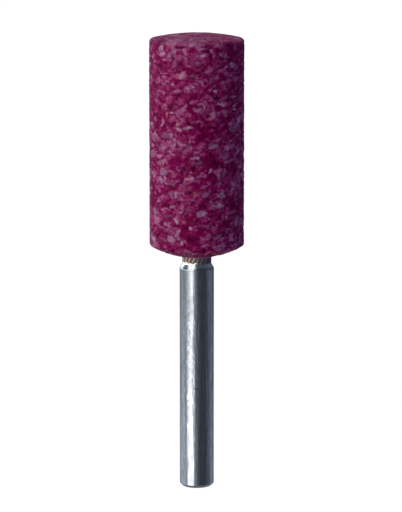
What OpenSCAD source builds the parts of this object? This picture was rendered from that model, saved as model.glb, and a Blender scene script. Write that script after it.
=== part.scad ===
// Mounted point: an abrasive cylinder with convex ends, cemented on a turned steel shank.
// Frame: millimetres, +Z up along the axis, origin at the centre of the shank's end.

/* [Head] */
// Diameter of the abrasive head
head_d = 16.5; // [12:0.1:25]
// Length of the abrasive head along the axis, with its domed base and crowned end
head_len = 39.1; // [28:0.1:60]
// Height of the dome at the head's base
base_drop = 2.2; // [0.5:0.1:4]
// Height of the crown at the head's free end
top_crown = 1; // [0.2:0.1:3]
// Rounding of the rim at the head's free end
rim_round = 0.6; // [0.1:0.05:1.2]
// Edge break between the head's side and its domed base
base_edge = 0.2; // [0.1:0.05:0.8]
// Solid abrasive beyond the blind bore
end_wall = 14; // [6:0.5:20]

/* [Shank] */
// Diameter of the shank, the size that a collet grips
shank_d = 6; // [5:0.05:8]
// Length of the shank from its end to the shoulder
shank_len = 39; // [25:0.5:60]
// Chamfer around the shank's end
foot_chamfer = 0.5; // [0.1:0.05:1]
// Length of the shoulder cone between shank and neck
shoulder_len = 0.9; // [0.3:0.1:2]

/* [Neck and tang] */
// Radial step from the shank down to the neck
neck_step = 0.5; // [0.2:0.05:1]
// Length of bare neck between the shoulder cone and the head's base
neck_len = 1; // [0.5:0.1:4]
// Chamfer around the tang's tip inside the head
tang_chamfer = 0.4; // [0.1:0.05:0.8]

/* [Cement] */
// Radial gap between tang and bore that the cement fills
cement_gap = 0.25; // [0.1:0.05:0.6]
// Depth of cement between the tang's tip and the bore's end
cement_tip = 0.6; // [0.2:0.1:2]
// Height of the cement bead below the bore's mouth
cement_bead = 0.3; // [0.1:0.05:0.5]

/* [Hidden] */
$fn = 96;

head_r = head_d / 2;
shank_r = shank_d / 2;
neck_r = shank_r - neck_step;
bore_r = neck_r + cement_gap;

neck_z = shank_len + shoulder_len;
base_z = neck_z + neck_len;
top_z = base_z + head_len;
bore_end_z = top_z - end_wall;
tip_z = bore_end_z - cement_tip;

// Sphere of the domed base, and the edge break where it meets the head's side
dome_r = (head_r * head_r + base_drop * base_drop) / (2 * base_drop);
dome_z = base_z + dome_r;
corner_z = base_z + base_drop;
edge_x = head_r - base_edge;
edge_z = dome_height(edge_x);
mouth_z = dome_height(bore_r);

// Sphere of the crowned end, and the rim's rounding, whose circle stands a little proud of both faces so
// that it crosses them at a small angle
crown_r = (head_r * head_r + top_crown * top_crown) / (2 * top_crown);
crown_z = top_z - crown_r;
rim_inset = 0.96 * rim_round;
rim_x = head_r - rim_inset;
rim_z = crown_z + sqrt(pow(crown_r - rim_inset, 2) - rim_x * rim_x);
rim_cut_x = rim_x * crown_r / (crown_r - rim_inset);

function dome_height(radius) = dome_z - sqrt(dome_r * dome_r - radius * radius);

module head_section() {
    difference() {
        translate([0, base_z]) square([head_r, head_len]);
        difference() {
            translate([-1, top_z - top_crown]) square([head_r + 2, top_crown + 1]);
            translate([0, crown_z]) circle(crown_r);
        }
        difference() {
            translate([rim_cut_x, rim_z]) square([head_r, rim_round + top_crown]);
            translate([rim_x, rim_z]) circle(rim_round);
        }
        difference() {
            translate([-1, base_z - 1]) square([head_r + 2, base_drop + 1]);
            translate([0, dome_z]) circle(dome_r);
        }
        polygon([
            [head_r, corner_z + base_edge],
            [edge_x, edge_z],
            [edge_x, base_z - 1],
            [head_r + 1, base_z - 1],
            [head_r + 1, corner_z + base_edge]
        ]);
        translate([-1, base_z - 1]) square([bore_r + 1, bore_end_z - base_z + 1]);
    }
}

module abrasive_head() {
    color([0.46, 0.16, 0.33])
        rotate_extrude()
            head_section();
}

module shank() {
    color([0.62, 0.64, 0.67])
        rotate_extrude()
            polygon([
                [0, 0],
                [shank_r - foot_chamfer, 0],
                [shank_r, foot_chamfer],
                [shank_r, shank_len],
                [neck_r, neck_z],
                [neck_r, tip_z - tang_chamfer],
                [neck_r - tang_chamfer, tip_z],
                [0, tip_z]
            ]);
}

module bond_cement() {
    color([0.60, 0.51, 0.43])
        rotate_extrude()
            polygon([
                [neck_r, mouth_z - cement_bead],
                [bore_r, mouth_z],
                [bore_r, bore_end_z],
                [0, bore_end_z],
                [0, tip_z],
                [neck_r - tang_chamfer, tip_z],
                [neck_r, tip_z - tang_chamfer]
            ]);
}

abrasive_head();
shank();
bond_cement();
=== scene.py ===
"""Looks of a mounted point: a pink abrasive head cemented on a ground steel shank.

Pieces are drawn in millimetres and finished in metres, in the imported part's frame: +Z up along the axis,
origin at the centre of the shank's end, and the camera on the side of -Y.
"""
from __future__ import annotations

import logging
import math
from dataclasses import dataclass
from enum import Enum

import bmesh
import bpy
from mathutils import Matrix, Vector, noise

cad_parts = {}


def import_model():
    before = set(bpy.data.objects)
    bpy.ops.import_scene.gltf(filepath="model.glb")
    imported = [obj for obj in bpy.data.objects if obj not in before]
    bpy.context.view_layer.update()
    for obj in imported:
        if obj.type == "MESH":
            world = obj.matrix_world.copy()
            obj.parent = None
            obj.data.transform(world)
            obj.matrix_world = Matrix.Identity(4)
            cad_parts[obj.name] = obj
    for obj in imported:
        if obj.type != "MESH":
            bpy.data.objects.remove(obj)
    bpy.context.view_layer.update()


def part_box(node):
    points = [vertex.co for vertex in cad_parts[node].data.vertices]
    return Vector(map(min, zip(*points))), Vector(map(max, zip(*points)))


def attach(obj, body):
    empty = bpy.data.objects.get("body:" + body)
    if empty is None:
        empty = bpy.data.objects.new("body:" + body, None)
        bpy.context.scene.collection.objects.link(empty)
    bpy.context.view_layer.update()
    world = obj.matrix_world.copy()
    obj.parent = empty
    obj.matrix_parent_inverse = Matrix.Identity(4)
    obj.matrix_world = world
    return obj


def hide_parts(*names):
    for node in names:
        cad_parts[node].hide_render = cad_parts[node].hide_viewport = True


LOG = logging.getLogger("mounted_point")
MM = 0.001
# Vector noise draws its offsets from this seed, so every run gives the same grains
GRAIN_SEED = 7
# Points of a turned section nearer than WELD are one, and rings are told apart to NEAR, in millimetres
WELD = 1e-5
NEAR = 1e-3
# The hue attribute of a grain that is neither warm nor cool
PLAIN_HUE = 0.5
# How a grain's chances are drawn from its cell, how two of them make its oddity, and its facet's slope
CHANCE_SPREAD = 7.31
CHANCE_STEPS = (3.0, 17.0, 29.0, 43.0, 61.0)
ODDITY_MIX = (7.7, 3.1)
FACET_STEEPNESS = 1.4


class Zone(Enum):
    """Which stretch of the head's skin a point lies on."""

    OPEN_FACE = "open_face"
    BORE = "bore"


def linear(hex_colour: str) -> tuple[float, float, float, float]:
    """Turn an sRGB hex colour into linear RGBA.

    Args:
        hex_colour: six hex digits, with or without a leading hash.

    Returns:
        Linear red, green, blue and an alpha of 1.
    """
    digits = hex_colour.lstrip("#")
    parts = [int(digits[i:i + 2], 16) / 255 for i in (0, 2, 4)]
    levels = [p / 12.92 if p <= 0.04045 else ((p + 0.055) / 1.055) ** 2.4 for p in parts]
    return (levels[0], levels[1], levels[2], 1.0)


def smooth_step(low: float, high: float, value: float) -> float:
    """Ease a value from 0 at low to 1 at high.

    Args:
        low: where the result is 0.
        high: where the result is 1.
        value: the value to ease.

    Returns:
        A number from 0 to 1.
    """
    share = min(1.0, max(0.0, (value - low) / (high - low)))
    return share * share * (3 - 2 * share)


def add_node(
    tree: bpy.types.NodeTree,
    kind: str,
    settings: dict | None = None,
    inputs: dict | None = None,
    stops: list[tuple[float, tuple]] | None = None,
) -> bpy.types.Node:
    """Add one node with its settings and links.

    Args:
        tree: the node tree to add to.
        kind: Blender's type name of the node.
        settings: attributes to set on the node.
        inputs: socket name or number to a value, or to an output socket to link from.
        stops: place and linear colour of each stop, for a node that has a colour ramp.

    Returns:
        The new node.
    """
    node = tree.nodes.new(kind)
    for name, value in (settings or {}).items():
        setattr(node, name, value)
    for name, value in (inputs or {}).items():
        if isinstance(value, bpy.types.NodeSocket):
            tree.links.new(value, node.inputs[name])
        else:
            node.inputs[name].default_value = value
    if stops:
        elements = node.color_ramp.elements
        while len(elements) < len(stops):
            elements.new(1.0)
        for element, (place, colour) in zip(elements, stops):
            element.position = place
            element.color = colour
    return node


def start_material(name: str) -> tuple[bpy.types.Material, bpy.types.NodeTree, bpy.types.Node]:
    """Make an empty node material with its output.

    Args:
        name: the material's name.

    Returns:
        The material, its node tree and its output node.
    """
    material = bpy.data.materials.new(name)
    material.use_nodes = True
    material.node_tree.nodes.clear()
    output = add_node(material.node_tree, "ShaderNodeOutputMaterial")
    return material, material.node_tree, output


@dataclass(frozen=True)
class PointSizes:
    """Sizes of the part in millimetres, the same as in its solids."""

    head_radius: float = 8.25
    head_base_z: float = 40.9
    head_top_z: float = 80.0
    base_drop: float = 2.2
    top_crown: float = 1.0
    rim_round: float = 0.6
    base_edge: float = 0.2
    bore_radius: float = 2.75
    bore_end_z: float = 66.0
    shank_radius: float = 3.0
    shoulder_z: float = 39.0
    neck_z: float = 39.9
    neck_radius: float = 2.5
    foot_chamfer: float = 0.5
    tang_tip_z: float = 65.4
    tang_chamfer: float = 0.4

    @classmethod
    def from_frame(cls) -> PointSizes:
        """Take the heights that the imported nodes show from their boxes.

        Returns:
            The sizes, with the rest as they stand here.
        """
        tops = [round(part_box(node)[1][2] / MM, 3) for node in ("abrasive_head", "bond_cement", "shank")]
        return cls(head_top_z=tops[0], bore_end_z=tops[1], tang_tip_z=tops[2])

    @property
    def dome_radius(self) -> float:
        """Radius of the sphere that the head's base is part of."""
        return (self.head_radius ** 2 + self.base_drop ** 2) / (2 * self.base_drop)

    @property
    def dome_centre_z(self) -> float:
        """Height of that sphere's centre."""
        return self.head_base_z + self.dome_radius

    @property
    def crown_radius(self) -> float:
        """Radius of the sphere that the head's free end is part of."""
        return (self.head_radius ** 2 + self.top_crown ** 2) / (2 * self.top_crown)

    @property
    def rim_z(self) -> float:
        """Height of the rim where the crown would meet the head's side."""
        return self.head_top_z - self.top_crown

    def dome_z(self, radius: float) -> float:
        """Height of the domed base at a distance from the axis.

        Args:
            radius: distance from the axis.

        Returns:
            The height in millimetres.
        """
        return self.dome_centre_z - math.sqrt(self.dome_radius ** 2 - radius ** 2)


@dataclass(frozen=True)
class Knurl:
    """The diagonal knurl rolled into the neck, in millimetres and degrees."""

    teeth: int = 20
    depth: float = 0.2
    slant_deg: float = 27.0
    crest_deg: float = -83.25
    crest_z: float = 40.8
    narrowing: float = 1.3
    fade_low_z: float = 39.95
    fade_high_z: float = 40.3

    def groove(self, angle: float, z: float, radius: float) -> float:
        """How deep in a groove a point lies.

        Args:
            angle: the point's angle about the axis, in radians.
            z: its height in millimetres.
            radius: the neck's radius in millimetres.

        Returns:
            0 on a crest, 1 at the bottom of a groove.
        """
        lean = math.tan(math.radians(self.slant_deg)) * (z - self.crest_z) / radius
        turn = self.teeth * (angle - math.radians(self.crest_deg) - lean) / (2 * math.pi)
        wave = 0.5 - 0.5 * math.cos(2 * math.pi * turn)
        return wave ** self.narrowing * smooth_step(self.fade_low_z, self.fade_high_z, z)


class Lathe:
    """A section drawn in the XZ plane and spun about the Z axis, in millimetres until it is finished."""

    def __init__(self, radius: float, z: float) -> None:
        """Start the section at one point.

        Args:
            radius: distance of the first point from the axis.
            z: its height.
        """
        self.mesh = bmesh.new()
        self.tip = self.mesh.verts.new((radius, 0.0, z))

    def line_to(self, radius: float, z: float, pieces: int = 1) -> None:
        """Draw a straight stretch of the section.

        Args:
            radius: distance of its end from the axis.
            z: height of its end.
            pieces: how many equal edges it is cut into.
        """
        place = Vector((radius, 0.0, z))
        end = self.mesh.verts.new(place)
        edge = self.mesh.edges.new((self.tip, end))
        if pieces > 1:
            bmesh.ops.subdivide_edges(self.mesh, edges=[edge], cuts=pieces - 1)
        self.tip = min(self.mesh.verts, key=lambda vert: (vert.co - place).length)

    def arc_about(self, centre_radius: float, centre_z: float, angle: float, pieces: int) -> None:
        """Draw an arc of the section by spinning its last point.

        Args:
            centre_radius: distance of the arc's centre from the axis.
            centre_z: height of the arc's centre.
            angle: angle of the arc in radians, positive from +Z towards +X.
            pieces: how many edges it is made of.
        """
        made = bmesh.ops.spin(
            self.mesh, geom=[self.tip], cent=(centre_radius, 0.0, centre_z), axis=(0.0, 1.0, 0.0),
            dvec=(0.0, 0.0, 0.0), angle=angle, steps=pieces, use_merge=False, use_duplicate=False,
        )
        self.tip = next(item for item in made["geom_last"] if isinstance(item, bmesh.types.BMVert))

    def turn(self, columns: int) -> bmesh.types.BMesh:
        """Spin the section once round the axis and close it.

        Args:
            columns: how many steps the full turn has.

        Returns:
            The mesh, with outward normals.
        """
        geometry = list(self.mesh.verts) + list(self.mesh.edges)
        bmesh.ops.spin(
            self.mesh, geom=geometry, cent=(0.0, 0.0, 0.0), axis=(0.0, 0.0, 1.0), dvec=(0.0, 0.0, 0.0),
            angle=2 * math.pi, steps=columns, use_merge=True, use_duplicate=False,
        )
        bmesh.ops.remove_doubles(self.mesh, verts=list(self.mesh.verts), dist=WELD)
        bmesh.ops.recalc_face_normals(self.mesh, faces=list(self.mesh.faces))
        self.mesh.normal_update()
        return self.mesh


def finish_piece(name: str, mesh: bmesh.types.BMesh, sharp_deg: float) -> bpy.types.Object:
    """Turn a bmesh in millimetres into an object in metres at the origin.

    Args:
        name: the object's name.
        mesh: the bmesh, which is freed.
        sharp_deg: edges that turn more than this stay sharp.

    Returns:
        The new object, linked to the scene.
    """
    bmesh.ops.scale(mesh, vec=(MM, MM, MM), verts=list(mesh.verts))
    bmesh.ops.recalc_face_normals(mesh, faces=list(mesh.faces))
    data = bpy.data.meshes.new(name)
    mesh.to_mesh(data)
    mesh.free()
    data.shade_smooth()
    data.set_sharp_from_angle(angle=math.radians(sharp_deg))
    piece = bpy.data.objects.new(name, data)
    bpy.context.scene.collection.objects.link(piece)
    return piece


@dataclass(frozen=True)
class VitrifiedPinkAlumina:
    """Fired pink aluminium oxide: pale crystalline flakes in a deep crimson bond, dull, with a few painted
    glints and painted shade in its pores.
    """

    bond: str = "6b0037"
    dark_grain: str = "80044d"
    plain_grain: str = "953b6c"
    pink_flake: str = "a05f83"
    pale_flake: str = "ad879c"
    # Dark crimson painted as shade in the gaps between grains and in the hollows
    pore_shade: str = "3a0026"
    warm_grain: str = "b2586a"
    cool_grain: str = "7c7c8c"
    tone_stops: tuple[float, ...] = (0.06, 0.3, 0.52, 0.76, 1.0)
    grain_weight: float = 0.86
    facet_weight: float = 0.1
    speck_weight: float = 0.12
    speck_shift: float = -0.01
    warm_share: float = 0.8
    cool_share: float = 0.28
    ior: float = 1.76
    gloss: float = 0.015
    clean_roughness: float = 0.38
    dusty_roughness: float = 0.72
    speck_mm: float = 0.22
    grit_mm: float = 0.42
    bump_mm: float = 0.08
    bump_strength: float = 0.4

    def material(self) -> bpy.types.Material:
        """Build the material.

        Returns:
            The material, which reads the head's grain_and_painted_light, pore_shade and hue attributes.
        """
        # Pressed grain in a glassy bond gives a mottled, sugary skin, matt all over; painted shade darkens
        # its pores and gaps
        material, tree, output = start_material("vitrified pink aluminium oxide")
        place = add_node(tree, "ShaderNodeTexCoord")
        grain_and_painted_light = add_node(tree, "ShaderNodeAttribute", {"attribute_name": "grain_and_painted_light"})
        pore_shade = add_node(tree, "ShaderNodeAttribute", {"attribute_name": "pore_shade"})
        hue = add_node(tree, "ShaderNodeAttribute", {"attribute_name": "hue"})
        speck = add_node(
            tree, "ShaderNodeTexNoise", {},
            {"Vector": place.outputs["Object"], "Scale": 1 / (self.speck_mm * MM), "Detail": 2.0,
             "Roughness": 0.6},
        )
        grit = add_node(
            tree, "ShaderNodeTexVoronoi", {"feature": "F1"},
            {"Vector": place.outputs["Object"], "Scale": 1 / (self.grit_mm * MM)},
        )
        facets = add_node(tree, "ShaderNodeSeparateColor", {}, {"Color": grit.outputs["Color"]})
        speckled = add_node(
            tree, "ShaderNodeMath", {"operation": "MULTIPLY_ADD"},
            {0: speck.outputs["Fac"], 1: self.speck_weight, 2: self.speck_shift},
        )
        gritty = add_node(
            tree, "ShaderNodeMath", {"operation": "MULTIPLY_ADD"},
            {0: facets.outputs[0], 1: self.facet_weight, 2: speckled.outputs[0]},
        )
        # The grain_and_painted_light attribute holds the grains' own tone together with their painted facet
        # shading, sheen and glints
        tone = add_node(
            tree, "ShaderNodeMath", {"operation": "MULTIPLY_ADD"},
            {0: grain_and_painted_light.outputs["Fac"], 1: self.grain_weight, 2: gritty.outputs[0]},
        )
        colours = (self.bond, self.dark_grain, self.plain_grain, self.pink_flake, self.pale_flake)
        ramp = add_node(
            tree, "ShaderNodeValToRGB", {}, {"Fac": tone.outputs[0]},
            [(stop, linear(colour)) for stop, colour in zip(self.tone_stops, colours)],
        )
        warm = add_node(
            tree, "ShaderNodeMapRange", {},
            {"Value": hue.outputs["Fac"], "From Min": PLAIN_HUE, "To Max": self.warm_share},
        )
        warmed = add_node(
            tree, "ShaderNodeMix", {"data_type": "RGBA"},
            {0: warm.outputs[0], 6: ramp.outputs["Color"], 7: linear(self.warm_grain)},
        )
        cool = add_node(
            tree, "ShaderNodeMapRange", {},
            {"Value": hue.outputs["Fac"], "From Max": PLAIN_HUE, "To Min": self.cool_share, "To Max": 0.0},
        )
        cooled = add_node(
            tree, "ShaderNodeMix", {"data_type": "RGBA"},
            {0: cool.outputs[0], 6: warmed.outputs[2], 7: linear(self.cool_grain)},
        )
        # Painted shade: the gaps and hollows are darkened by the pore_shade attribute
        pore_shaded = add_node(
            tree, "ShaderNodeMix", {"data_type": "RGBA"},
            {0: pore_shade.outputs["Fac"], 6: cooled.outputs[2], 7: linear(self.pore_shade)},
        )
        shine = add_node(
            tree, "ShaderNodeMapRange", {},
            {"Value": facets.outputs[1], "To Min": self.clean_roughness, "To Max": self.dusty_roughness},
        )
        bump = add_node(
            tree, "ShaderNodeBump", {},
            {"Strength": self.bump_strength, "Distance": self.bump_mm * MM, "Height": gritty.outputs[0]},
        )
        shader = add_node(
            tree, "ShaderNodeBsdfPrincipled", {},
            {"Base Color": pore_shaded.outputs[2], "Roughness": shine.outputs[0], "IOR": self.ior,
             "Specular IOR Level": self.gloss, "Normal": bump.outputs["Normal"]},
        )
        tree.links.new(shader.outputs["BSDF"], output.inputs["Surface"])
        return material


@dataclass(frozen=True)
class GroundSteel:
    """Bright centreless-ground tool steel: a near mirror with fine streaks and small handling marks."""

    steel: str = "d2d6dc"
    worn: str = "9a9da2"
    turned: str = "eceef0"
    # Dark grey for one real score on the front, and for painted shade at the shoulder's line and round the
    # foot's edge
    grime_and_shade: str = "4b4a4c"
    # Real grinding streaks and turning rings are finer: these are as coarse as they need to be to show
    streak_mm: float = 0.3
    streak_length_mm: float = 12.0
    streak_weight: float = 0.75
    ring_mm: float = 0.2
    ring_length_mm: float = 5.0
    ring_weight: float = 0.05
    bump_mm: float = 0.036
    mark_mm: float = 0.5
    mark_length_mm: float = 1.7
    mark_weight: float = 0.6
    marked_mm: float = 23.0
    marked_half_mm: float = 6.0
    marked_soft_mm: float = 6.0
    least_marked: float = 0.25
    worn_from: float = 0.55
    worn_to: float = 1.05
    satin_from: float = 0.35
    satin_to: float = 0.7
    bright_roughness: float = 0.09
    satin_roughness: float = 0.2
    pit_mm: float = 0.45
    pit_from: float = 0.6
    pit_to: float = 0.75
    pit_roughness: float = 0.12
    score_mm: float = 17.95
    score_side_mm: float = -0.05
    score_half_mm: float = 0.5
    score_soft_mm: float = 0.06
    score_end_mm: float = 0.3
    front_mm: float = -1.0
    fine_half_mm: float = 0.03
    # The shoulder's line is painted shade; its height also sets where the turned shoulder's brighter colour
    # begins
    shoulder_line_mm: float = 39.2
    shoulder_shade_soft_mm: float = 0.08
    shoulder_shade_share: float = 0.5
    turned_below_mm: float = 0.1
    turned_above_mm: float = 0.05
    # Painted shade round the foot's edge
    foot_edge_mm: float = 0.42
    foot_soft_mm: float = 0.15
    foot_shade_share: float = 0.6

    def stretched(self, tree: bpy.types.NodeTree, place: bpy.types.NodeSocket, across: float,
                  along: float, detail: float) -> bpy.types.NodeSocket:
        """Add a noise that is stretched along or across the shank.

        Args:
            tree: the material's node tree.
            place: the Object coordinates.
            across: its grain across the shank, in millimetres.
            along: its grain along the shank, in millimetres.
            detail: how many finer layers it has.

        Returns:
            The noise's level.
        """
        scale = (1 / (across * MM), 1 / (across * MM), 1 / (along * MM))
        mapped = add_node(tree, "ShaderNodeMapping", {}, {"Vector": place, "Scale": scale})
        level = add_node(
            tree, "ShaderNodeTexNoise", {},
            {"Vector": mapped.outputs["Vector"], "Scale": 1.0, "Detail": detail, "Roughness": 0.6},
        )
        return level.outputs["Fac"]

    def band(self, tree: bpy.types.NodeTree, place: bpy.types.NodeSocket, middle: float, half: float,
             soft: float) -> bpy.types.NodeSocket:
        """Add a mask that is 1 in a band along one axis.

        Args:
            tree: the material's node tree.
            place: the coordinate along that axis.
            middle: the band's middle in millimetres.
            half: half its width in millimetres.
            soft: width of its soft edge in millimetres.

        Returns:
            The mask.
        """
        off = add_node(tree, "ShaderNodeMath", {"operation": "SUBTRACT"}, {0: place, 1: middle * MM})
        away = add_node(tree, "ShaderNodeMath", {"operation": "ABSOLUTE"}, {0: off.outputs[0]})
        mask = add_node(
            tree, "ShaderNodeMapRange", {},
            {"Value": away.outputs[0], "From Min": half * MM, "From Max": (half + soft) * MM, "To Min": 1.0,
             "To Max": 0.0},
        )
        return mask.outputs[0]

    def material(self) -> bpy.types.Material:
        """Build the material.

        Returns:
            The material, on Object coordinates.
        """
        # Grinding leaves soft mirror stripes that run down the shank, broken where it has been handled
        material, tree, output = start_material("ground tool steel")
        place = add_node(tree, "ShaderNodeTexCoord").outputs["Object"]
        axes = add_node(tree, "ShaderNodeSeparateXYZ", {}, {"Vector": place})
        side, depth, height = (axes.outputs[axis] for axis in ("X", "Y", "Z"))
        streaks = self.stretched(tree, place, self.streak_mm, self.streak_length_mm, 3.0)
        marks = self.stretched(tree, place, self.mark_mm, self.mark_length_mm, 1.0)
        rings = self.stretched(tree, place, self.ring_length_mm, self.ring_mm, 1.0)
        middle = self.band(tree, height, self.marked_mm, self.marked_half_mm, self.marked_soft_mm)
        handled = add_node(
            tree, "ShaderNodeMapRange", {}, {"Value": middle, "To Min": self.least_marked, "To Max": 1.0},
        )
        # Painted shade at the shoulder and the foot, and the score's grime, go over the worn steel
        soiled_and_shaded = self.soil_and_shade(tree, self.wear(tree, marks, streaks, height), side, depth, height)
        pits = self.stretched(tree, place, self.pit_mm, self.pit_mm, 1.0)
        pitted = add_node(
            tree, "ShaderNodeMapRange", {},
            {"Value": pits, "From Min": self.pit_from, "From Max": self.pit_to, "To Min": 0.0,
             "To Max": self.pit_roughness},
        )
        satin = add_node(
            tree, "ShaderNodeMapRange", {},
            {"Value": marks, "From Min": self.satin_from, "From Max": self.satin_to,
             "To Min": self.bright_roughness, "To Max": self.satin_roughness},
        )
        rough = add_node(
            tree, "ShaderNodeMath", {"operation": "MULTIPLY_ADD"},
            {0: pitted.outputs[0], 1: handled.outputs[0], 2: satin.outputs[0]},
        )
        dented = add_node(
            tree, "ShaderNodeMath", {"operation": "MULTIPLY"}, {0: marks, 1: handled.outputs[0]},
        )
        marked = add_node(
            tree, "ShaderNodeMath", {"operation": "MULTIPLY_ADD"},
            {0: streaks, 1: self.streak_weight, 2: dented.outputs[0]},
        )
        ringed = add_node(
            tree, "ShaderNodeMath", {"operation": "MULTIPLY_ADD"},
            {0: rings, 1: self.ring_weight, 2: marked.outputs[0]},
        )
        bump = add_node(
            tree, "ShaderNodeBump", {},
            {"Strength": 1.0, "Distance": self.bump_mm * MM, "Height": ringed.outputs[0]},
        )
        shader = add_node(
            tree, "ShaderNodeBsdfPrincipled", {},
            {"Base Color": soiled_and_shaded, "Metallic": 1.0, "Roughness": rough.outputs[0],
             "Normal": bump.outputs["Normal"]},
        )
        tree.links.new(shader.outputs["BSDF"], output.inputs["Surface"])
        return material

    def wear(self, tree: bpy.types.NodeTree, marks: bpy.types.NodeSocket, streaks: bpy.types.NodeSocket,
             height: bpy.types.NodeSocket) -> bpy.types.NodeSocket:
        """Add the steel's own colour, duller where it is worn and brighter on the turned shoulder.

        Args:
            tree: the material's node tree.
            marks: level of the handling marks.
            streaks: level of the grinding streaks.
            height: the coordinate along the shank.

        Returns:
            The colour.
        """
        mottled = add_node(
            tree, "ShaderNodeMath", {"operation": "MULTIPLY_ADD"},
            {0: marks, 1: self.mark_weight, 2: streaks},
        )
        worn = add_node(
            tree, "ShaderNodeMapRange", {},
            {"Value": mottled.outputs[0], "From Min": self.worn_from, "From Max": self.worn_to},
        )
        colour = add_node(
            tree, "ShaderNodeMix", {"data_type": "RGBA"},
            {0: worn.outputs[0], 6: linear(self.steel), 7: linear(self.worn)},
        )
        above = add_node(
            tree, "ShaderNodeMapRange", {},
            {"Value": height, "From Min": (self.shoulder_line_mm - self.turned_below_mm) * MM,
             "From Max": (self.shoulder_line_mm + self.turned_above_mm) * MM},
        )
        bright = add_node(
            tree, "ShaderNodeMix", {"data_type": "RGBA"},
            {0: above.outputs[0], 6: colour.outputs[2], 7: linear(self.turned)},
        )
        return bright.outputs[2]

    def soil_and_shade(self, tree: bpy.types.NodeTree, clean: bpy.types.NodeSocket, side: bpy.types.NodeSocket,
             depth: bpy.types.NodeSocket, height: bpy.types.NodeSocket) -> bpy.types.NodeSocket:
        """Paint shade as a dark line at the shoulder and round the foot's edge, and add grime in one short
        score on the front.

        Args:
            tree: the material's node tree.
            clean: the colour of the clean steel.
            side: the coordinate from left to right.
            depth: the coordinate from front to back.
            height: the coordinate along the shank.

        Returns:
            The colour with its grime.
        """
        # Painted shade: a dark line where the shoulder cone meets the shank
        shoulder_shade = self.band(
            tree, height, self.shoulder_line_mm, self.fine_half_mm, self.shoulder_shade_soft_mm,
        )
        across = self.band(tree, height, self.score_mm, self.fine_half_mm, self.score_soft_mm)
        along = self.band(tree, side, self.score_side_mm, self.score_half_mm, self.score_end_mm)
        score = add_node(tree, "ShaderNodeMath", {"operation": "MULTIPLY"}, {0: across, 1: along})
        front = add_node(
            tree, "ShaderNodeMapRange", {},
            {"Value": depth, "From Min": self.front_mm * MM, "From Max": 0.0, "To Min": 1.0, "To Max": 0.0},
        )
        scored = add_node(
            tree, "ShaderNodeMath", {"operation": "MULTIPLY"}, {0: score.outputs[0], 1: front.outputs[0]},
        )
        shoulder_shade_and_score = add_node(
            tree, "ShaderNodeMath", {"operation": "MULTIPLY_ADD", "use_clamp": True},
            {0: shoulder_shade, 1: self.shoulder_shade_share, 2: scored.outputs[0]},
        )
        # Painted shade: the foot's edge is darkened
        foot_shade = add_node(
            tree, "ShaderNodeMapRange", {},
            {"Value": height, "From Min": self.foot_edge_mm * MM,
             "From Max": (self.foot_edge_mm + self.foot_soft_mm) * MM, "To Min": self.foot_shade_share,
             "To Max": 0.0},
        )
        shade_and_score = add_node(
            tree, "ShaderNodeMath", {"operation": "MAXIMUM"}, {0: shoulder_shade_and_score.outputs[0], 1: foot_shade.outputs[0]},
        )
        soiled_and_shaded = add_node(
            tree, "ShaderNodeMix", {"data_type": "RGBA"},
            {0: shade_and_score.outputs[0], 6: clean, 7: linear(self.grime_and_shade)},
        )
        return soiled_and_shaded.outputs[2]


@dataclass(frozen=True)
class ResinCement:
    """Hard tan resin cement, dull and a little gritty, with painted shade: darker brown in the grooves and
    grey on its shaded side.
    """

    tan: str = "c9af98"
    brown_and_groove_shade: str = "69574b"
    # Grey painted as shade on the side of the cement away from the light
    side_shade: str = "504d50"
    tan_until: float = 0.3
    brown_and_shade_from: float = 0.8
    grit_mm: float = 0.12
    grit_weight: float = 0.5
    bump_mm: float = 0.03
    bump_strength: float = 0.4
    roughness: float = 0.55
    ior: float = 1.5

    def material(self) -> bpy.types.Material:
        """Build the material.

        Returns:
            The material, which reads the bead's groove and side_shade attributes, both used as painted
            shade.
        """
        # Filled resin smeared on by hand gives a matt, earthy film; painted shade darkens it in the knurl's
        # grooves and on one side
        material, tree, output = start_material("tan resin cement")
        place = add_node(tree, "ShaderNodeTexCoord")
        groove = add_node(tree, "ShaderNodeAttribute", {"attribute_name": "groove"})
        side_shade = add_node(tree, "ShaderNodeAttribute", {"attribute_name": "side_shade"})
        grit = add_node(
            tree, "ShaderNodeTexNoise", {},
            {"Vector": place.outputs["Object"], "Scale": 1 / (self.grit_mm * MM), "Detail": 3.0},
        )
        # Random grit mottling plus painted shade in the knurl's grooves, from tan to brown
        depth = add_node(
            tree, "ShaderNodeMath", {"operation": "MULTIPLY_ADD", "use_clamp": True},
            {0: grit.outputs["Fac"], 1: self.grit_weight, 2: groove.outputs["Fac"]},
        )
        ramp = add_node(
            tree, "ShaderNodeValToRGB", {}, {"Fac": depth.outputs[0]},
            [(self.tan_until, linear(self.tan)), (self.brown_and_shade_from, linear(self.brown_and_groove_shade))],
        )
        # Painted shade: grey on the side away from the light
        side_shaded = add_node(
            tree, "ShaderNodeMix", {"data_type": "RGBA"},
            {0: side_shade.outputs["Fac"], 6: ramp.outputs["Color"], 7: linear(self.side_shade)},
        )
        bump = add_node(
            tree, "ShaderNodeBump", {},
            {"Strength": self.bump_strength, "Distance": self.bump_mm * MM, "Height": grit.outputs["Fac"]},
        )
        shader = add_node(
            tree, "ShaderNodeBsdfPrincipled", {},
            {"Base Color": side_shaded.outputs[2], "Roughness": self.roughness, "IOR": self.ior,
             "Normal": bump.outputs["Normal"]},
        )
        tree.links.new(shader.outputs["BSDF"], output.inputs["Surface"])
        return material


@dataclass(frozen=True)
class Grain:
    """One grain as it shows at a point: its facet there, its tone, its edge's nearness and its chances."""

    facet: float
    tone: float
    edge: float
    chance: float
    oddity: float


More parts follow.
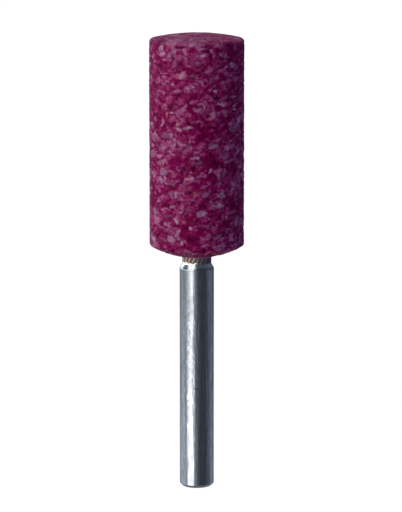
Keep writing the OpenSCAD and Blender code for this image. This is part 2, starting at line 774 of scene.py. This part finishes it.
@dataclass
class Skin:
    """The head's skin at one point: depth below the trued surface in millimetres, tone, pore shade and hue.

    The pore shade is painted shade in gaps and hollows. The hue is 0 for a cool grain, 0.5 for a plain one
    and 1 for a warm one. The oddity is the grit's.
    """

    depth: float
    tone: float
    pore_shade: float
    hue: float
    oddity: float


@dataclass(frozen=True)
class Chip:
    """A small place where an edge of the head has broken away, in millimetres."""

    place: tuple[float, float, float]
    reach: float
    depth: float
    flat_share: float = 0.45

    def depth_at(self, point: Vector) -> float:
        """How deep the chip is at a point of the smooth head, in millimetres."""
        away = (point - Vector(self.place)).length
        return self.depth * (1 - smooth_step(self.reach * self.flat_share, self.reach, away))


@dataclass(frozen=True)
class GrainMix:
    """How flakes and the grit between them make the head's skin: lengths in millimetres, the rest as shares.

    A waver is a noise that moves a grain's outline: its waves per millimetre and its reach.
    """

    flake_size: float = 1.75
    flake_waver: tuple[float, float] = (0.8, 0.32)
    flake_fray: tuple[float, float] = (2.4, 0.15)
    grit_size: float = 0.8
    grit_waver: tuple[float, float] = (3.3, 0.08)
    grit_salt: float = 31.0
    squat: float = 0.64
    flake_gap: float = 0.16
    grit_gap: float = 0.08
    gap_depth: float = 0.05
    fine_gap_depth: float = 0.02
    bond_tone: float = 0.02
    grit_tone: float = 0.42
    # Painted shading: the grit's tone follows its facet, darker where it falls away
    grit_tilt_shade: float = 0.26
    bond_depth: float = 0.02
    grit_depth: float = 0.04
    grit_fall: float = 0.07
    bond_pore_shade: float = 0.25
    bare_share: float = 0.22
    soft_edge: float = 0.3
    flake_base: float = 0.2
    flake_tone: float = 0.46
    flake_curve: float = 1.2
    # Painted shading: a flake's tone follows its facet, darker where it falls away
    flake_tilt_shade: float = 0.42
    flake_grit: float = 0.62
    flake_fall: float = 0.17
    flake_grit_depth: float = 0.02
    flake_pore_shade: float = 0.1
    deep_pore_shade: float = 0.9
    shallow_pore_shade: float = 0.4
    warm_tinge: float = 0.12
    warm_grit: tuple[float, float] = (0.6, 0.9)
    warm_flakes: tuple[float, float] = (0.1, 0.4)
    cool_flakes: tuple[float, float] = (0.68, 1.0)
    lost_grit: float = 0.94
    lost_tone: float = 0.5
    hollow_edge: tuple[float, float] = (0.02, 0.12)
    hollow_depth: float = 0.1
    hollow_pore_shade: float = 0.85
    patch_waves: float = 0.24
    fine_patch_waves: float = 0.5
    fine_patch: float = 0.6
    patch_tone: float = 0.24
    # Grit whose oddity falls in this span is drawn in the palest tone, as a painted glint
    painted_glints: tuple[float, float] = (0.955, 0.97)
    warm_specks: float = 0.992
    warm_speck_hue: float = 0.95

    def waver(self, point: Vector, waves: tuple[float, float]) -> Vector:
        """How far a noise of some waves per millimetre and some reach moves a point."""
        return noise.noise_vector(point * waves[0]) * waves[1]

    def skin(self, point: Vector) -> Skin:
        """Lay grit, flakes, gaps and hollows at a point.

        Args:
            point: the point in millimetres.

        Returns:
            The skin there, before chips and the head's ends change it.
        """
        ragged = point + self.waver(point, self.flake_waver) + self.waver(point, self.flake_fray)
        flake = self.grain_at(ragged, self.flake_size, 0.0)
        grit = self.grain_at(point + self.waver(point, self.grit_waver), self.grit_size, self.grit_salt)
        gap = 1 - smooth_step(0.0, self.flake_gap, flake.edge)
        fine_gap = 1 - smooth_step(0.0, self.grit_gap, grit.edge)
        skin = Skin(
            depth=self.bond_depth + self.grit_depth * grit.tone + max(0.0, self.grit_fall * -grit.facet),
            # The grit's tone follows its facet's slope: painted shading
            tone=self.bond_tone + self.grit_tone * grit.tone + self.grit_tilt_shade * grit.facet,
            pore_shade=self.shallow_pore_shade * gap + self.bond_pore_shade * fine_gap,
            hue=PLAIN_HUE + self.warm_tinge * smooth_step(*self.warm_grit, grit.oddity),
            oddity=grit.oddity,
        )
        if flake.chance > self.bare_share:
            self.lay_flake(skin, flake, grit)
            # Painted shade in the gap round a flake, deeper beside a facet that falls away
            pore_shade = self.deep_pore_shade if flake.facet < 0.0 else self.shallow_pore_shade
            skin.pore_shade = gap * pore_shade + self.flake_pore_shade * fine_gap
        skin.depth += self.gap_depth * gap + self.fine_gap_depth * fine_gap
        if grit.chance > self.lost_grit and flake.tone < self.lost_tone:
            # A lost grain of grit leaves a hollow, with painted shade in it
            hollow = smooth_step(*self.hollow_edge, grit.edge)
            skin.depth += self.hollow_depth * hollow
            skin.pore_shade = max(skin.pore_shade, self.hollow_pore_shade * hollow)
        skin.pore_shade = min(1.0, skin.pore_shade)
        return skin

    def lay_flake(self, skin: Skin, flake: Grain, grit: Grain) -> None:
        """Bring a point's skin to its flake's, softly at the flake's edge.

        Args:
            skin: the skin of the bond there, which is changed.
            flake: the flake that holds the point.
            grit: the grain of grit that holds it.
        """
        share = smooth_step(0.0, self.soft_edge, flake.edge)
        paleness = self.flake_tone * flake.tone ** self.flake_curve
        # Painted shading: the flake's tone follows its facet's slope, darker where the facet falls away
        tone = self.flake_base + paleness + self.flake_tilt_shade * flake.facet
        tone += self.flake_grit * (grit.tone - 0.5)
        depth = max(0.0, self.flake_fall * -flake.facet) + self.flake_grit_depth * grit.tone
        hue = PLAIN_HUE - PLAIN_HUE * smooth_step(*self.cool_flakes, flake.oddity)
        hue += self.warm_tinge * flake.tone * (1 - smooth_step(*self.warm_flakes, flake.oddity))
        skin.tone += share * (tone - skin.tone)
        skin.depth += share * (depth - skin.depth)
        skin.hue += share * (hue - skin.hue)

    def shade(self, skin: Skin, point: Vector) -> None:
        """Vary a point's tone in broad patches, paint the few pale glints as painted highlights, and pick
        out the warm specks.

        Args:
            skin: the skin at the point, which is changed.
            point: the point in millimetres.
        """
        patch = noise.noise(point * self.patch_waves)
        patch += self.fine_patch * noise.noise(point * self.fine_patch_waves)
        skin.tone += self.patch_tone * patch
        # Painted highlight: a glint is drawn as the palest tone
        if self.painted_glints[0] < skin.oddity < self.painted_glints[1]:
            skin.tone = 1.0
        if skin.oddity > self.warm_specks:
            skin.hue = self.warm_speck_hue

    def grain_at(self, point: Vector, size: float, salt: float) -> Grain:
        """Find the grain that holds a point and how its broken facet lies.

        Args:
            point: the point in millimetres.
            size: the grain's size in millimetres.
            salt: keeps one layer of grains apart from another.

        Returns:
            The grain, with its edge's nearness in millimetres and the rest from 0 to 1, or -1 to 1 for
            the facet.
        """
        # Uneven steps keep the cells of two layers from lining up
        shift = Vector((salt, salt * 0.7, salt * 1.3))
        place = Vector((point.x, point.y, point.z / self.squat)) / size + shift
        distances, centres = noise.voronoi(place, distance_metric="MANHATTAN")
        key = centres[0] * CHANCE_SPREAD
        chance = [abs(noise.cell(key + Vector((step, 0.0, -step)))) for step in CHANCE_STEPS]
        tilt = Vector((chance[0] - 0.5, chance[1] - 0.5, chance[2] - 0.5))
        facet = tilt.normalized().dot(place - centres[0]) * FACET_STEEPNESS
        edge = (distances[1] - distances[0]) * size * 0.5
        oddity = (chance[0] * ODDITY_MIX[0] + chance[3] * ODDITY_MIX[1]) % 1.0
        return Grain(max(-1.0, min(1.0, facet)), chance[4], edge, chance[3], oddity)


@dataclass
class AbrasiveHead:
    """The moulded and fired abrasive cylinder, with its grains as real relief below the trued surface."""

    sizes: PointSizes
    finish: VitrifiedPinkAlumina
    mix: GrainMix
    columns: int = 320
    side_rows: int = 196
    face_rows: int = 36
    rim_rows: int = 5
    edge_rows: int = 2
    dome_rows: int = 30
    bore_rows: int = 3
    sharp_deg: float = 60.0
    lean: float = 0.3
    bore_slack: float = 0.02
    mouth_fade: float = 0.4
    rim_band: float = 1.0
    rim_fade: float = 0.7
    top_relief: float = 0.4
    # The free end's tone is drawn towards this paler tone, a painted sheen
    top_sheen_tone: float = 0.81
    top_evenness_and_sheen: float = 0.5
    chips: tuple[Chip, ...] = (
        Chip((3.7, -2.9, 41.65), 0.55, 0.3),
        Chip((-5.0, 6.4, 79.05), 0.6, 0.2),
        Chip((7.9, 3.9, 43.3), 0.6, 0.2),
    )

    def build(self) -> bpy.types.Object:
        """Build the head's mesh and give it its finish.

        Returns:
            The head.
        """
        mesh = self.section()
        grain_and_painted_light = mesh.verts.layers.float.new("grain_and_painted_light")
        pore_shade = mesh.verts.layers.float.new("pore_shade")
        hue = mesh.verts.layers.float.new("hue")
        moves = []
        for vert in mesh.verts:
            skin = self.relief(vert.co)
            vert[grain_and_painted_light] = skin.tone
            vert[pore_shade] = skin.pore_shade
            vert[hue] = skin.hue
            if self.zone(vert.co) is Zone.OPEN_FACE:
                moves.append((vert, vert.co - vert.normal * skin.depth))
        for vert, target in moves:
            vert.co = target
        piece = finish_piece("abrasive_head_looks", mesh, self.sharp_deg)
        piece.data.materials.append(self.finish.material())
        return piece

    def section(self) -> bmesh.types.BMesh:
        """Turn the head's smooth section.

        Returns:
            The smooth closed head with its blind bore.
        """
        s = self.sizes
        edge_radius = s.head_radius - s.base_edge
        corner_z = s.head_base_z + s.base_drop
        start = math.asin(edge_radius / s.dome_radius)
        stop = math.asin(s.bore_radius / s.dome_radius)
        crown_z = s.head_top_z - s.crown_radius
        rim_x = s.head_radius - s.rim_round
        tilt = math.asin(rim_x / (s.crown_radius - s.rim_round))
        rim_centre_z = crown_z + (s.crown_radius - s.rim_round) * math.cos(tilt)
        lathe = Lathe(0.0, s.head_top_z)
        lathe.arc_about(0.0, crown_z, tilt, self.face_rows)
        lathe.arc_about(rim_x, rim_centre_z, math.pi / 2 - tilt, self.rim_rows)
        lathe.line_to(s.head_radius, corner_z + s.base_edge, self.side_rows)
        lathe.line_to(edge_radius, s.dome_z(edge_radius), self.edge_rows)
        lathe.arc_about(0.0, s.dome_centre_z, start - stop, self.dome_rows)
        lathe.line_to(s.bore_radius, s.bore_end_z, self.bore_rows)
        lathe.line_to(0.0, s.bore_end_z)
        return lathe.turn(self.columns)

    def zone(self, point: Vector) -> Zone:
        """Tell the open faces from the bore.

        Args:
            point: a point of the smooth head.

        Returns:
            The zone that it lies in.
        """
        radius = math.hypot(point.x, point.y)
        inside = radius < self.sizes.bore_radius + self.bore_slack and point.z < self.sizes.rim_z
        return Zone.BORE if inside else Zone.OPEN_FACE

    def relief(self, point: Vector) -> Skin:
        """Work out the grain at a point of the trued surface.

        Args:
            point: a point of the smooth head.

        Returns:
            The skin there.
        """
        leant = Matrix.Rotation(-self.lean * point.z / self.sizes.head_radius, 3, "Z") @ point
        skin = self.mix.skin(leant)
        for chip in self.chips:
            skin.depth += chip.depth_at(point)
        self.ease_ends(skin, point)
        self.mix.shade(skin, leant)
        return skin

    def ease_ends(self, skin: Skin, point: Vector) -> None:
        """Let the relief die out at the bore's mouth, and make the free end smoother and more even, with a
        paler painted tone that stands in for its sheen.

        Args:
            skin: the skin at the point, which is changed.
            point: a point of the smooth head.
        """
        below_rim = self.sizes.rim_z - point.z
        if below_rim > self.rim_band:
            mouth = math.hypot(point.x, point.y) - self.sizes.bore_radius
            skin.depth *= smooth_step(0.0, self.mouth_fade, mouth)
            return
        side = smooth_step(0.0, self.rim_fade, below_rim)
        skin.depth *= self.top_relief + (1 - self.top_relief) * side
        # Painted sheen: the free end's tone is evened out towards one paler tone
        skin.tone += self.top_evenness_and_sheen * (self.top_sheen_tone - skin.tone) * (1 - side)


@dataclass
class SteelShank:
    """The turned steel spindle: foot, ground shank, shoulder cone, knurled neck and tang."""

    sizes: PointSizes
    knurl: Knurl
    finish: GroundSteel
    columns: int = 200
    end_rows: int = 2
    shank_rows: int = 12
    cone_rows: int = 5
    knurl_rows: int = 24
    tang_rows: int = 4
    sharp_deg: float = 30.0
    edge_break: float = 0.05
    edge_row: float = 0.2
    knurl_length: float = 2.0
    knurl_slack: float = 0.05

    def build(self) -> bpy.types.Object:
        """Build the shank's mesh and give it its finish.

        Returns:
            The shank.
        """
        s = self.sizes
        lathe = Lathe(0.0, 0.0)
        lathe.line_to(s.shank_radius - s.foot_chamfer, 0.0, self.end_rows)
        lathe.line_to(s.shank_radius, s.foot_chamfer)
        lathe.line_to(s.shank_radius, s.foot_chamfer + self.edge_row)
        lathe.line_to(s.shank_radius, s.shoulder_z - self.edge_row, self.shank_rows)
        lathe.line_to(s.shank_radius, s.shoulder_z)
        lathe.line_to(s.neck_radius, s.neck_z, self.cone_rows)
        lathe.line_to(s.neck_radius, s.neck_z + self.knurl_length, self.knurl_rows)
        lathe.line_to(s.neck_radius, s.tang_tip_z - s.tang_chamfer, self.tang_rows)
        lathe.line_to(s.neck_radius - s.tang_chamfer, s.tang_tip_z)
        lathe.line_to(0.0, s.tang_tip_z, self.end_rows)
        mesh = lathe.turn(self.columns)
        self.break_edges(mesh)
        self.roll_knurl(mesh)
        piece = finish_piece("shank_looks", mesh, self.sharp_deg)
        piece.data.materials.append(self.finish.material())
        return piece

    def break_edges(self, mesh: bmesh.types.BMesh) -> None:
        """Round the foot's edges and the shoulder a little.

        Args:
            mesh: the turned shank.
        """
        s = self.sizes
        levels = (0.0, s.foot_chamfer, s.shoulder_z)
        radii = (s.shank_radius - s.foot_chamfer, s.shank_radius, s.shank_radius)
        rings = []
        for edge in mesh.edges:
            low, high = edge.verts
            here = math.hypot(low.co.x, low.co.y)
            there = math.hypot(high.co.x, high.co.y)
            if max(abs(low.co.z - high.co.z), abs(here - there)) > NEAR:
                continue
            for level, radius in zip(levels, radii):
                if abs(low.co.z - level) < NEAR and abs(here - radius) < NEAR:
                    rings.append(edge)
        bmesh.ops.bevel(
            mesh, geom=rings, offset=self.edge_break, offset_type="OFFSET", affect="EDGES", segments=3,
            profile=0.5, material=-1, clamp_overlap=True,
        )

    def roll_knurl(self, mesh: bmesh.types.BMesh) -> None:
        """Press the knurl's grooves into the neck.

        Args:
            mesh: the turned shank.
        """
        s = self.sizes
        top_z = s.neck_z + self.knurl_length + self.knurl_slack
        for vert in mesh.verts:
            radius = math.hypot(vert.co.x, vert.co.y)
            if s.neck_z < vert.co.z < top_z and radius > s.neck_radius - self.knurl_slack:
                angle = math.atan2(vert.co.y, vert.co.x)
                groove = self.knurl.groove(angle, vert.co.z, s.neck_radius)
                scale = (radius - self.knurl.depth * groove) / radius
                vert.co.x *= scale
                vert.co.y *= scale


@dataclass
class CementBead:
    """The cement that fills the bore round the tang and shows, smeared over the knurl, under the head."""

    sizes: PointSizes
    knurl: Knurl
    finish: ResinCement
    columns: int = 200
    coat_rows: int = 16
    bore_rows: int = 3
    tang_rows: int = 2
    sharp_deg: float = 60.0
    lowest_z: float = 40.0
    coat_height: float = 1.6
    lip: float = 0.2
    lip_slack: float = 0.01
    film: float = 0.05
    thin_end: float = 0.4
    thin_until: float = 0.2
    groove_fill: float = 0.5
    bead_from: float = 0.55
    lump: float = 0.02
    ragged: tuple[float, float] = (0.28, 6.0)
    fray: tuple[float, float] = (0.16, 17.0)
    mean_end: float = 0.12
    neck_clearance: float = 0.02
    even_from: float = 0.6
    evenness: float = 0.6
    # The side painted in shade, as angles about the axis; the coat also reaches lower there
    side_shade_from_deg: float = -86.0
    side_shade_from_soft_deg: float = 9.0
    side_shade_to_deg: float = 40.0
    side_shade_to_soft_deg: float = 20.0
    side_shade_waver_deg: float = 12.0
    side_shade_reach: float = 0.5
    side_shade_share: float = 0.9

    def build(self) -> bpy.types.Object:
        """Build the cement's mesh and give it its finish.

        Returns:
            The cement.
        """
        s = self.sizes
        lip_z = s.dome_z(s.bore_radius) + self.lip
        lathe = Lathe(0.0, s.bore_end_z)
        lathe.line_to(s.bore_radius, s.bore_end_z)
        lathe.line_to(s.bore_radius, lip_z, self.bore_rows)
        lathe.line_to(s.neck_radius + self.film, self.lowest_z, self.coat_rows)
        lathe.line_to(s.neck_radius, self.lowest_z)
        lathe.line_to(s.neck_radius, s.neck_z + self.coat_height, self.coat_rows)
        lathe.line_to(s.neck_radius, s.tang_tip_z - s.tang_chamfer, self.tang_rows)
        lathe.line_to(s.neck_radius - s.tang_chamfer, s.tang_tip_z)
        lathe.line_to(0.0, s.tang_tip_z)
        mesh = lathe.turn(self.columns)
        groove = mesh.verts.layers.float.new("groove")
        side_shade_layer = mesh.verts.layers.float.new("side_shade")
        for vert in mesh.verts:
            if vert.co.z < lip_z - self.lip_slack:
                vert[groove], vert[side_shade_layer] = self.smear(vert, lip_z)
        piece = finish_piece("bond_cement_looks", mesh, self.sharp_deg)
        piece.data.materials.append(self.finish.material())
        return piece

    def smear(self, vert: bmesh.types.BMVert, top_z: float) -> tuple[float, float]:
        """Lay one point of the coat on the knurl and give the coat a ragged lower end.

        Args:
            vert: a point of the coat.
            top_z: height at which the coat leaves the bore.

        Returns:
            How deep in a groove the point is, which sets its painted shade, and how far it lies on the side
            painted in shade, both from 0 to 1.
        """
        s = self.sizes
        outer = math.hypot(vert.co.x, vert.co.y) > s.neck_radius + 1e-4
        angle = math.atan2(vert.co.y, vert.co.x)
        around = Vector((math.cos(angle), math.sin(angle), 0.0))
        share = (vert.co.z - self.lowest_z) / (top_z - self.lowest_z)
        end_z = self.end_height(angle, around)
        z = end_z + share * (top_z - end_z)
        depth = self.knurl.groove(angle, z, s.neck_radius)
        skin = s.neck_radius - self.knurl.depth * depth
        if outer:
            bead = (s.bore_radius - s.neck_radius) * smooth_step(self.bead_from, 1.0, share)
            lumps = self.lump * noise.noise(Vector((angle * 9.0, z * 6.0, 3.0)))
            spread = self.thin_end + (1 - self.thin_end) * smooth_step(0.0, self.thin_until, share)
            skin += self.film * spread * (1 + self.groove_fill * depth) + bead + lumps * share
        vert.co = Vector((around.x * skin, around.y * skin, z))
        # The grooves' painted shade fades towards the bore, where the coat lies even
        level = 1 - self.evenness * smooth_step(self.even_from, 1.0, share)
        return depth * level, self.side_shade_share * self.side_shade(angle, z)

    def end_height(self, angle: float, around: Vector) -> float:
        """Find how far down the coat reaches on one side.

        Args:
            angle: the side's angle about the axis, in radians.
            around: the direction of that angle.

        Returns:
            The height of the coat's lower end in millimetres.
        """
        ragged = self.ragged[0] * noise.noise(around * self.ragged[1])
        ragged += self.fray[0] * noise.noise(around * self.fray[1])
        lower = self.side_shade_reach * self.side_shade(angle, self.sizes.neck_z)
        return max(self.sizes.neck_z + self.neck_clearance, self.lowest_z + self.mean_end + ragged - lower)

    def side_shade(self, angle: float, z: float) -> float:
        """How far the cement at a point lies on the side that is painted in shade.

        Args:
            angle: the point's angle about the axis, in radians.
            z: its height in millimetres.

        Returns:
            0 for plain tan cement, 1 for cement painted grey as shade.
        """
        waver = self.side_shade_waver_deg * noise.noise(Vector((angle * 5.0, z * 3.0, 8.0)))
        turn = math.degrees(angle) + waver
        soft = self.side_shade_from_soft_deg
        begun = smooth_step(self.side_shade_from_deg - soft, self.side_shade_from_deg + soft, turn)
        soft = self.side_shade_to_soft_deg
        return begun * (1 - smooth_step(self.side_shade_to_deg - soft, self.side_shade_to_deg + soft, turn))


@dataclass(frozen=True)
class LightStop:
    """Brightness and tint of the studio in one direction, 0 towards the camera and negative to its left."""

    azimuth_deg: float
    level: float
    tint: str = "ffffff"


# Tints of the light: the walls, the dim side, the main light's greenish edge and the fill
COOL = "dbe8f2"
DEEP_COOL = "cddaf0"
GREENISH = "dcebe6"
VIOLET = "8c50ff"


@dataclass
class Studio:
    """A plain white floor, a soft wrap of studio light and the camera.

    Places are in metres, the lens and its sensor in millimetres. The light is laid in layers, and each has
    a rise: the two sines of elevation between which it takes over from the layer below.
    """

    camera_place: tuple[float, float, float] = (0.000737, -0.5, 0.13015)
    camera_pitch_deg: float = 10.105
    lens: float = 204.78
    sensor: float = 36.0
    nearest: float = 0.01
    floor_half: float = 6.0
    floor_grey: str = "606060"
    floor_roughness: float = 0.9
    floor_glow: float = 0.95
    bounce: float = 0.4
    zenith: float = 1.34
    strength: float = 3.0
    fill_place: tuple[float, float, float] = (0.36, -0.18, 0.06)
    fill_size: float = 0.2
    fill_watts: float = 0.25
    low_rise: tuple[float, float] = (-0.7, -0.4)
    level_rise: tuple[float, float] = (-0.24, -0.18)
    side_rise: tuple[float, float] = (-0.1, 0.0)
    upper_rise: tuple[float, float] = (0.25, 0.4)
    zenith_rise: tuple[float, float] = (0.8, 0.97)
    low_ring: tuple[LightStop, ...] = (
        LightStop(-180.0, 0.30, COOL),
        LightStop(-135.0, 0.62, COOL),
        LightStop(-108.0, 0.88, COOL),
        LightStop(-84.0, 0.8, COOL),
        LightStop(-76.0, 0.42, COOL),
        LightStop(-68.0, 0.75, COOL),
        LightStop(-60.0, 2.6),
        LightStop(-28.0, 2.6),
        LightStop(-19.0, 0.55, COOL),
        LightStop(1.0, 0.26, COOL),
        LightStop(15.0, 0.11, DEEP_COOL),
        LightStop(57.0, 0.09, DEEP_COOL),
        LightStop(91.0, 0.21, DEEP_COOL),
        LightStop(112.0, 0.36, COOL),
        LightStop(143.0, 0.30, COOL),
        LightStop(180.0, 0.30, COOL),
    )
    level_ring: tuple[LightStop, ...] = (
        LightStop(-180.0, 0.28, COOL),
        LightStop(-135.0, 0.45, COOL),
        LightStop(-108.0, 0.50, COOL),
        LightStop(-87.0, 0.46, COOL),
        LightStop(-81.0, 0.14, COOL),
        LightStop(-75.0, 0.9, GREENISH),
        LightStop(-66.0, 0.7, GREENISH),
        LightStop(-54.0, 0.45, GREENISH),
        LightStop(-46.0, 1.2),
        LightStop(-28.0, 1.6),
        LightStop(-18.0, 0.45, COOL),
        LightStop(1.0, 0.17, COOL),
        LightStop(15.0, 0.12, DEEP_COOL),
        LightStop(42.0, 0.08, DEEP_COOL),
        LightStop(73.0, 0.12, DEEP_COOL),
        LightStop(95.0, 0.25, DEEP_COOL),
        LightStop(115.0, 0.26, DEEP_COOL),
        LightStop(140.0, 0.1, DEEP_COOL),
        LightStop(180.0, 0.2, COOL),
    )
    side_ring: tuple[LightStop, ...] = (
        LightStop(-180.0, 0.3, COOL),
        LightStop(-150.0, 1.2, COOL),
        LightStop(-118.0, 3.0, COOL),
        LightStop(-106.0, 3.0, COOL),
        LightStop(-90.0, 2.1),
        LightStop(-68.0, 2.15),
        LightStop(-44.0, 2.4),
        LightStop(-31.0, 1.0),
        LightStop(-16.0, 0.3, COOL),
        LightStop(5.0, 0.12, DEEP_COOL),
        LightStop(30.0, 0.12, DEEP_COOL),
        LightStop(80.0, 0.12, DEEP_COOL),
        LightStop(110.0, 0.12, DEEP_COOL),
        LightStop(120.0, 0.14, DEEP_COOL),
        LightStop(155.0, 0.16, DEEP_COOL),
        LightStop(180.0, 0.4, COOL),
    )
    upper_ring: tuple[LightStop, ...] = (
        LightStop(-180.0, 0.35, COOL),
        LightStop(-140.0, 0.3, COOL),
        LightStop(-110.0, 0.2, COOL),
        LightStop(-85.0, 0.2, COOL),
        LightStop(-75.0, 0.25, COOL),
        LightStop(-66.0, 1.9),
        LightStop(-27.0, 1.9),
        LightStop(-15.0, 0.3, COOL),
        LightStop(5.0, 0.11, DEEP_COOL),
        LightStop(30.0, 0.08, DEEP_COOL),
        LightStop(90.0, 0.11, DEEP_COOL),
        LightStop(120.0, 0.18, DEEP_COOL),
        LightStop(150.0, 0.3, DEEP_COOL),
        LightStop(180.0, 0.35, COOL),
    )

    def build(self) -> None:
        """Make the floor, the light and the camera."""
        self.lay_floor()
        self.light()
        self.fill()
        self.place_camera()
        scene = bpy.context.scene
        scene.view_settings.view_transform = "Standard"
        scene.view_settings.look = "None"

    def lay_floor(self) -> None:
        """Lay a floor that only the camera sees, so that it neither lights nor shows in the steel."""
        mesh = bmesh.new()
        bmesh.ops.create_grid(mesh, x_segments=1, y_segments=1, size=self.floor_half)
        data = bpy.data.meshes.new("floor")
        mesh.to_mesh(data)
        mesh.free()
        floor = bpy.data.objects.new("floor", data)
        bpy.context.scene.collection.objects.link(floor)
        material, tree, output = start_material("white light table")
        shader = add_node(
            tree, "ShaderNodeBsdfPrincipled", {},
            {"Base Color": linear(self.floor_grey), "Roughness": self.floor_roughness,
             "Specular IOR Level": 0.0, "Emission Color": linear("ffffff"),
             "Emission Strength": self.floor_glow},
        )
        tree.links.new(shader.outputs["BSDF"], output.inputs["Surface"])
        floor.data.materials.append(material)
        floor.visible_diffuse = False
        floor.visible_glossy = False
        floor.visible_shadow = False

    def ring(self, tree: bpy.types.NodeTree, compass: bpy.types.NodeSocket,
             stops: tuple[LightStop, ...]) -> bpy.types.NodeSocket:
        """Add a ring of light that changes with the compass direction.

        Args:
            tree: the world's node tree.
            compass: the direction, from 0 to 1 round the full turn.
            stops: the light in each direction.

        Returns:
            The ring's colour, divided by the world's strength.
        """
        colours = []
        for stop in stops:
            tint = linear(stop.tint)
            level = stop.level / self.strength
            colour = (tint[0] * level, tint[1] * level, tint[2] * level, 1.0)
            colours.append((stop.azimuth_deg / 360 + 0.5, colour))
        return add_node(tree, "ShaderNodeValToRGB", {}, {"Fac": compass}, colours).outputs["Color"]

    def light(self) -> None:
        """Light the part from all round, with one tall soft light at the left of the camera."""
        world = bpy.data.worlds.new("studio")
        bpy.context.scene.world = world
        world.use_nodes = True
        tree = world.node_tree
        tree.nodes.clear()
        place = add_node(tree, "ShaderNodeTexCoord").outputs["Generated"]
        turned = add_node(
            tree, "ShaderNodeMapping", {}, {"Vector": place, "Rotation": (0.0, 0.0, math.pi / 2)},
        )
        compass = add_node(
            tree, "ShaderNodeTexGradient", {"gradient_type": "RADIAL"}, {"Vector": turned.outputs["Vector"]},
        ).outputs["Fac"]
        height = add_node(tree, "ShaderNodeSeparateXYZ", {}, {"Vector": place}).outputs["Z"]
        bounce = self.bounce / self.strength
        zenith = self.zenith / self.strength
        wrap = (bounce, bounce, bounce, 1.0)
        for (low, high), layer in (
            (self.low_rise, self.ring(tree, compass, self.low_ring)),
            (self.level_rise, self.ring(tree, compass, self.level_ring)),
            (self.side_rise, self.ring(tree, compass, self.side_ring)),
            (self.upper_rise, self.ring(tree, compass, self.upper_ring)),
            (self.zenith_rise, (zenith, zenith, zenith, 1.0)),
        ):
            share = add_node(
                tree, "ShaderNodeMapRange", {"interpolation_type": "SMOOTHSTEP"},
                {"Value": height, "From Min": low, "From Max": high},
            )
            wrap = add_node(
                tree, "ShaderNodeMix", {"data_type": "RGBA"}, {0: share.outputs[0], 6: wrap, 7: layer},
            ).outputs[2]
        wrapped = add_node(tree, "ShaderNodeBackground", {}, {"Color": wrap, "Strength": self.strength})
        seen = add_node(tree, "ShaderNodeBackground", {}, {"Color": linear("ffffff"), "Strength": 1.0})
        path = add_node(tree, "ShaderNodeLightPath")
        mixed = add_node(
            tree, "ShaderNodeMixShader", {},
            {0: path.outputs["Is Camera Ray"], 1: wrapped.outputs["Background"],
             2: seen.outputs["Background"]},
        )
        add_node(tree, "ShaderNodeOutputWorld", {}, {"Surface": mixed.outputs["Shader"]})

    def fill(self) -> None:
        """Add a weak violet fill at the right of the camera, which the steel doesn't mirror."""
        data = bpy.data.lights.new("violet fill", "AREA")
        data.size = self.fill_size
        data.energy = self.fill_watts
        data.color = linear(VIOLET)[:3]
        lamp = bpy.data.objects.new("violet fill", data)
        place = Vector(self.fill_place)
        level = Vector((0.0, 0.0, place.z))
        turn = (place - level).to_track_quat("Z", "Y").to_matrix().to_4x4()
        lamp.matrix_world = Matrix.Translation(place) @ turn
        lamp.visible_glossy = False
        bpy.context.scene.collection.objects.link(lamp)

    def place_camera(self) -> None:
        """Set the camera at the photograph's place, with no shift and no depth of field."""
        data = bpy.data.cameras.new("camera")
        data.lens = self.lens
        data.sensor_width = self.sensor
        data.clip_start = self.nearest
        camera = bpy.data.objects.new("camera", data)
        turn = Matrix.Rotation(math.radians(90 - self.camera_pitch_deg), 4, "X")
        camera.matrix_world = Matrix.Translation(self.camera_place) @ turn
        bpy.context.scene.collection.objects.link(camera)
        bpy.context.scene.camera = camera


def main() -> None:
    """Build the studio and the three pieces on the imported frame."""
    logging.basicConfig(level=logging.INFO, format="%(name)s: %(message)s")
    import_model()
    noise.seed_set(GRAIN_SEED)
    Studio().build()
    sizes = PointSizes.from_frame()
    knurl = Knurl()
    head = AbrasiveHead(sizes, VitrifiedPinkAlumina(), GrainMix()).build()
    # The steel's shoulder shows no pink, so the head is kept out of reflections
    head.visible_glossy = False
    shank = SteelShank(sizes, knurl, GroundSteel()).build()
    cement = CementBead(sizes, knurl, ResinCement()).build()
    for piece, node, slot in (
        (head, "abrasive_head", "abrasive"),
        (shank, "shank", "steel"),
        (cement, "bond_cement", "cement"),
    ):
        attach(piece, "root")
        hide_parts(node)
        LOG.info("%s: %d faces", piece.name, len(piece.data.polygons))


if __name__ == "__main__":
    main()
